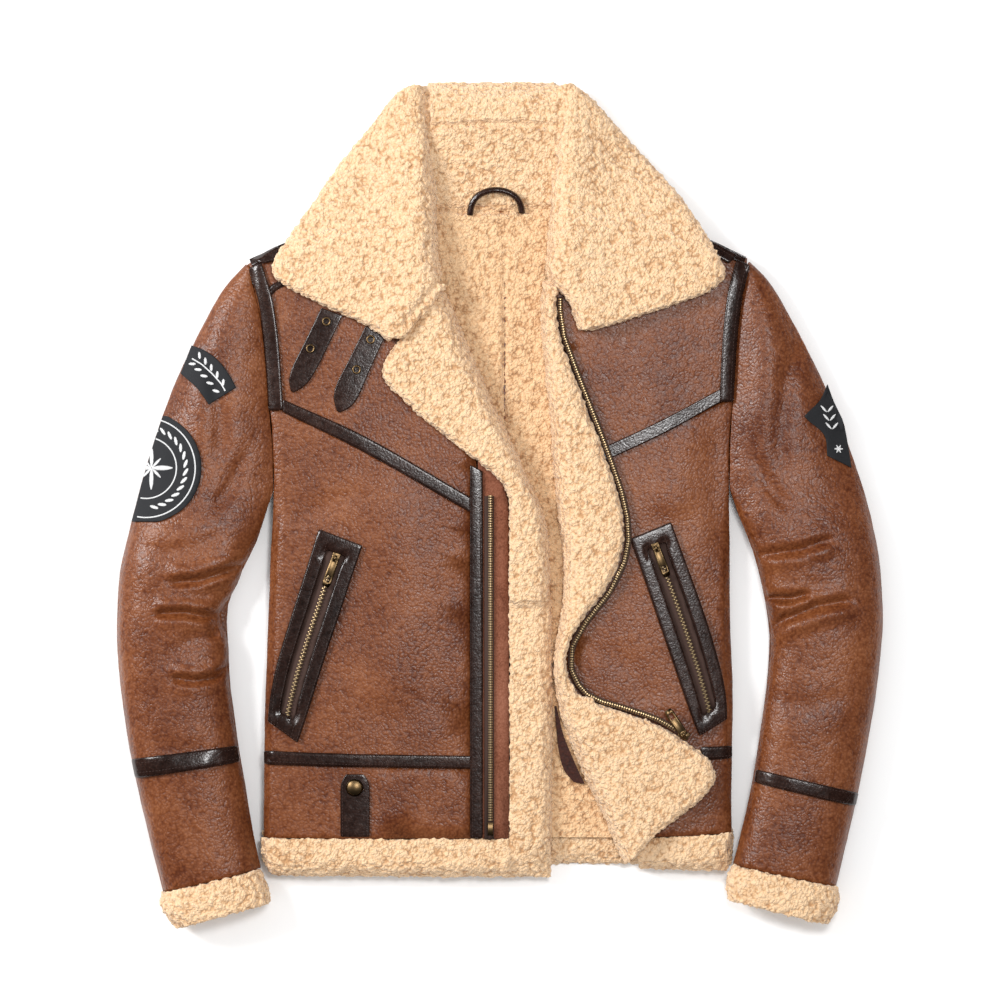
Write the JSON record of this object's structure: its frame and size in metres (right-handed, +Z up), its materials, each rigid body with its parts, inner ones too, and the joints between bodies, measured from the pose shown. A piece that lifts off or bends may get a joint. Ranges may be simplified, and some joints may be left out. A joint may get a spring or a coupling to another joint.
{
  "type": "sheepskin flying jacket",
  "caption": "Sheepskin flying jacket laid flat: brown grained leather outside, curly cream wool inside and turned back at collar, lapels, hem and cuffs; bound seams and zip pockets.",
  "frame": {"origin": "middle of the laid jacket's plan, on the surface it lies on", "axes": "+X to the wearer's left sleeve, +Y from the hem to the collar, +Z up from the surface it lies on"},
  "size_m": [0.766, 0.8465, 0.0577],
  "materials": {
    "leather": "semi-gloss, pebbled grain",
    "dark_leather": "waxed",
    "suede": "matt nap",
    "shearling_wool": "curly pile",
    "antique_brass": "antiqued",
    "patch_twill": "twill weave"
  },
  "bodies": {
    "jacket": {"back": "leather", "right_yoke": "leather", "right_front": "leather", "right_band": "leather", "left_yoke": "leather", "left_front": "leather", "left_band": "leather", "right_top_sleeve": "leather", "right_under_sleeve": "leather", "left_top_sleeve": "leather", "left_under_sleeve": "leather", "right_yoke_tape": "dark_leather", "left_yoke_tape": "dark_leather", "right_waist_tape": "dark_leather", "left_waist_tape": "dark_leather", "right_placket_tape": "dark_leather", "right_armhole_tape": "dark_leather", "left_armhole_tape": "dark_leather", "right_shoulder_tape": "dark_leather", "left_shoulder_tape": "dark_leather", "right_wrist_tape": "dark_leather", "left_wrist_tape": "dark_leather", "throat_strap_1": "dark_leather", "throat_strap_2": "dark_leather", "hem_tab": "dark_leather", "right_pocket_welt": "dark_leather", "left_pocket_welt": "dark_leather", "hanger_loop": "dark_leather", "inner_pocket": "dark_leather", "right_placket": "suede", "back_hem_wool": "shearling_wool", "right_edge_wool": "shearling_wool", "right_hem_wool": "shearling_wool", "left_hem_wool": "shearling_wool", "right_lapel": "shearling_wool", "left_facing": "shearling_wool", "left_flap": "shearling_wool", "right_collar_leaf": "shearling_wool", "left_collar_leaf": "shearling_wool", "collar_stand": "shearling_wool", "right_cuff_wool": "shearling_wool", "left_cuff_wool": "shearling_wool", "strap_1_eyelet_top": "antique_brass", "strap_1_eyelet_low": "antique_brass", "strap_2_eyelet_top": "antique_brass", "strap_2_eyelet_low": "antique_brass", "hem_tab_snap": "antique_brass", "right_pocket_zip": "antique_brass", "left_pocket_zip": "antique_brass", "right_pocket_slider": "antique_brass", "left_pocket_slider": "antique_brass", "right_zip": "antique_brass", "left_zip": "antique_brass", "main_slider": "antique_brass", "right_sleeve_arc_patch": "patch_twill", "right_sleeve_round_patch": "patch_twill", "left_sleeve_patch": "patch_twill"},
    "right_pocket_tab": {"right_pocket_pull": "antique_brass"},
    "left_pocket_tab": {"left_pocket_pull": "antique_brass"},
    "main_tab": {"main_pull": "antique_brass"}
  },
  "joints": [
    {"name": "right_pocket_tab_swing", "type": "hinge", "parent": "jacket", "child": "right_pocket_tab", "pos_m": [-0.164, -0.055, 0.03901], "axis": [-0.9426, 0.3338, 0], "range_deg": [0, 150]},
    {"name": "left_pocket_tab_swing", "type": "hinge", "parent": "jacket", "child": "left_pocket_tab", "pos_m": [0.156, -0.045, 0.03948], "axis": [-0.9367, -0.3502, 0], "range_deg": [0, 150]},
    {"name": "main_tab_swing", "type": "hinge", "parent": "jacket", "child": "main_tab", "pos_m": [0.1835, -0.231, 0.04094], "axis": [0.829, 0.5592, 0], "range_deg": [0, 135]}
  ]
}
